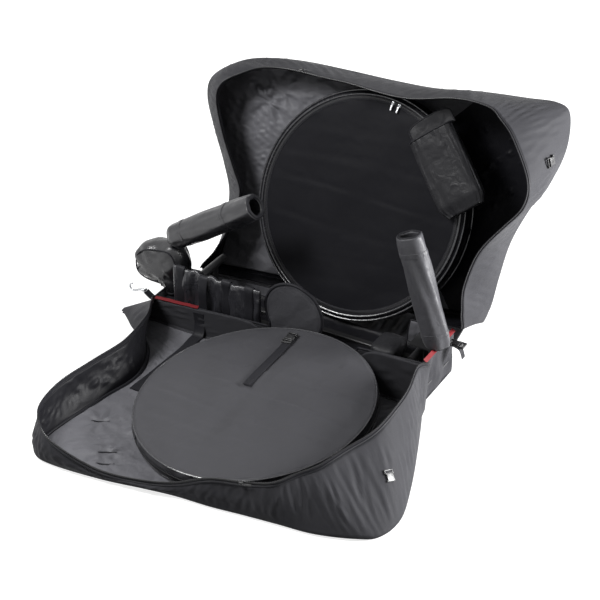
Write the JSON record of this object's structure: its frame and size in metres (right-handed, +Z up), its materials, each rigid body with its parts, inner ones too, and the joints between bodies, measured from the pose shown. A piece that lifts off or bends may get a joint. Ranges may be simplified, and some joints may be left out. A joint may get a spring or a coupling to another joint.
{
  "type": "soft bike travel bag",
  "caption": "Soft-sided travel bag for a bicycle, open like a clamshell: padded halves fold on a castor base, with round wheel bags, mounting rails, zips and straps.",
  "frame": {"origin": "on the floor, under the centre of the outer box of the open bag", "axes": "+X along the base toward its nose end, -Y toward the half that lies on the floor, +Z up"},
  "size_m": [1.2292, 1.3414, 0.7895],
  "materials": {
    "nylon": "matte woven nylon with a slight sheen",
    "lining": "smooth coated lining",
    "padding": "quilted foam padding in nylon",
    "webbing": "flat woven webbing",
    "red_tape": "woven edge tape",
    "board": "rigid board",
    "buckle": "moulded plastic",
    "aluminium": "bright zip pulls",
    "steel": "plated steel",
    "rubber": "castor tyre"
  },
  "bodies": {
    "base": {"base_pan": "nylon", "base_board": "board", "frame_rail_near": "steel", "frame_rail_far": "steel", "rear_red_tape": "red_tape", "nose_red_tape": "red_tape", "castor_plate_rear_near": "steel", "castor_plate_rear_far": "steel", "castor_plate_nose_near": "steel", "castor_plate_nose_far": "steel", "rear_stand": "steel", "rear_axle": "steel", "rear_pad": "padding", "stay_sleeve": "padding", "stay_skirt": "padding", "chainring_guard": "padding", "rear_ring_tab": "webbing", "nose_buckle_socket": "buckle", "nose_buckle_tail": "webbing"},
    "front_stand": {"front_stand": "steel", "fork_axle": "steel", "fork_sleeve": "padding", "fork_foot_pad": "padding"},
    "fork_lever": {"fork_lever": "buckle"},
    "snap_hook": {"snap_hook": "steel"},
    "nose_buckle_tongue": {"nose_buckle_tongue": "buckle"},
    "castor_fork_rear_near": {"castor_fork_rear_near": "steel"},
    "castor_wheel_rear_near": {"castor_wheel_rear_near": "rubber"},
    "castor_fork_rear_far": {"castor_fork_rear_far": "steel"},
    "castor_wheel_rear_far": {"castor_wheel_rear_far": "rubber"},
    "castor_fork_nose_near": {"castor_fork_nose_near": "steel"},
    "castor_wheel_nose_near": {"castor_wheel_nose_near": "rubber"},
    "castor_fork_nose_far": {"castor_fork_nose_far": "steel"},
    "castor_wheel_nose_far": {"castor_wheel_nose_far": "rubber"},
    "near_half": {"near_shell": "nylon", "near_zip_tape": "webbing", "near_side_pad": "lining", "near_bag_front": "padding", "near_bag_back": "padding", "near_hub_pad": "padding", "near_bag_zip": "webbing", "wheel_strap": "webbing", "strap_buckle_socket": "buckle", "near_wide_strap": "webbing", "near_closure_buckle": "buckle"},
    "far_half": {"far_shell": "nylon", "far_zip_tape": "webbing", "far_side_pad": "lining", "far_pocket": "padding", "far_hub_pad": "padding", "far_pocket_piping": "webbing", "organiser_pocket": "lining", "far_closure_buckle": "buckle"},
    "strap_buckle_tongue": {"strap_buckle_tongue": "buckle"},
    "near_zip_slider": {"near_zip_slider": "buckle"},
    "near_bag_slider": {"near_bag_slider": "buckle"},
    "far_zip_slider": {"far_zip_slider": "buckle"},
    "far_pocket_slider_a": {"far_pocket_slider_a": "aluminium"},
    "far_pocket_slider_b": {"far_pocket_slider_b": "aluminium"},
    "organiser_flap": {"organiser_flap": "lining"}
  },
  "joints": [
    {"name": "far_half_fold", "type": "hinge", "parent": "base", "child": "far_half", "pos_m": [-0.49456, 0.2864, 0.083], "axis": [0.997, 0, 0.0768], "range_deg": [-64, 25]},
    {"name": "near_half_fold", "type": "hinge", "parent": "base", "child": "near_half", "pos_m": [-0.49456, 0.0864, 0.083], "axis": [0.997, 0, 0.0768], "range_deg": [-95, 0]},
    {"name": "front_stand_slide", "type": "slide", "parent": "base", "child": "front_stand", "axis": [1, 0, 0], "range_m": [-0.05, 0.02]},
    {"name": "fork_lever_turn", "type": "hinge", "parent": "front_stand", "child": "fork_lever", "pos_m": [0.37044, 0.1358, 0.112], "axis": [0, 1, 0], "range_deg": [0, 90]},
    {"name": "castor_swivel_rear_near", "type": "hinge", "parent": "base", "child": "castor_fork_rear_near", "pos_m": [-0.40456, 0.1164, 0], "axis": [0, 0, 1], "continuous": true},
    {"name": "castor_spin_rear_near", "type": "hinge", "parent": "castor_fork_rear_near", "child": "castor_wheel_rear_near", "pos_m": [-0.41456, 0.1164, 0.016], "axis": [0, 1, 0], "continuous": true},
    {"name": "castor_swivel_rear_far", "type": "hinge", "parent": "base", "child": "castor_fork_rear_far", "pos_m": [-0.40456, 0.2564, 0], "axis": [0, 0, 1], "continuous": true},
    {"name": "castor_spin_rear_far", "type": "hinge", "parent": "castor_fork_rear_far", "child": "castor_wheel_rear_far", "pos_m": [-0.41456, 0.2564, 0.016], "axis": [0, 1, 0], "continuous": true},
    {"name": "castor_swivel_nose_near", "type": "hinge", "parent": "base", "child": "castor_fork_nose_near", "pos_m": [0.34544, 0.1164, 0], "axis": [0, 0, 1], "continuous": true},
    {"name": "castor_spin_nose_near", "type": "hinge", "parent": "castor_fork_nose_near", "child": "castor_wheel_nose_near", "pos_m": [0.33544, 0.1164, 0.016], "axis": [0, 1, 0], "continuous": true},
    {"name": "castor_swivel_nose_far", "type": "hinge", "parent": "base", "child": "castor_fork_nose_far", "pos_m": [0.34544, 0.2564, 0], "axis": [0, 0, 1], "continuous": true},
    {"name": "castor_spin_nose_far", "type": "hinge", "parent": "castor_fork_nose_far", "child": "castor_wheel_nose_far", "pos_m": [0.33544, 0.2564, 0.016], "axis": [0, 1, 0], "continuous": true},
    {"name": "snap_hook_swing", "type": "hinge", "parent": "base", "child": "snap_hook", "pos_m": [-0.53356, 0.1004, 0.0875], "axis": [0, 1, 0], "range_deg": [-50, 20]},
    {"name": "nose_buckle_release", "type": "slide", "parent": "base", "child": "nose_buckle_tongue", "axis": [1, 0, 0], "range_m": [0, 0.03]},
    {"name": "strap_buckle_release", "type": "slide", "parent": "near_half", "child": "strap_buckle_tongue", "axis": [0.0068, -0.996, -0.0887], "range_m": [0, 0.03]},
    {"name": "near_zip_slide", "type": "slide", "parent": "near_half", "child": "near_zip_slider", "axis": [0.9716, 0.2172, 0.0943], "range_m": [-0.02, 0.02]},
    {"name": "far_zip_slide", "type": "slide", "parent": "far_half", "child": "far_zip_slider", "axis": [0.998, -0.0065, 0.0629], "range_m": [-0.02, 0.02]},
    {"name": "near_bag_zip_turn", "type": "hinge", "parent": "near_half", "child": "near_bag_slider", "pos_m": [0.0728, -0.23754, 0.10019], "axis": [0.0765, 0.0889, -0.9931], "range_deg": [-50, 30]},
    {"name": "far_pocket_zip_a_turn", "type": "hinge", "parent": "far_half", "child": "far_pocket_slider_a", "pos_m": [0.04843, 0.40497, 0.40356], "axis": [0.0324, 0.9063, -0.4214], "range_deg": [-60, 0]},
    {"name": "far_pocket_zip_b_turn", "type": "hinge", "parent": "far_half", "child": "far_pocket_slider_b", "pos_m": [0.04843, 0.40497, 0.40356], "axis": [0.0324, 0.9063, -0.4214], "range_deg": [0, 55]},
    {"name": "organiser_flap_lift", "type": "hinge", "parent": "far_half", "child": "organiser_flap", "pos_m": [0.23919, 0.50374, 0.64992], "axis": [0.7657, 0.2484, 0.5932], "range_deg": [0, 88]}
  ]
}
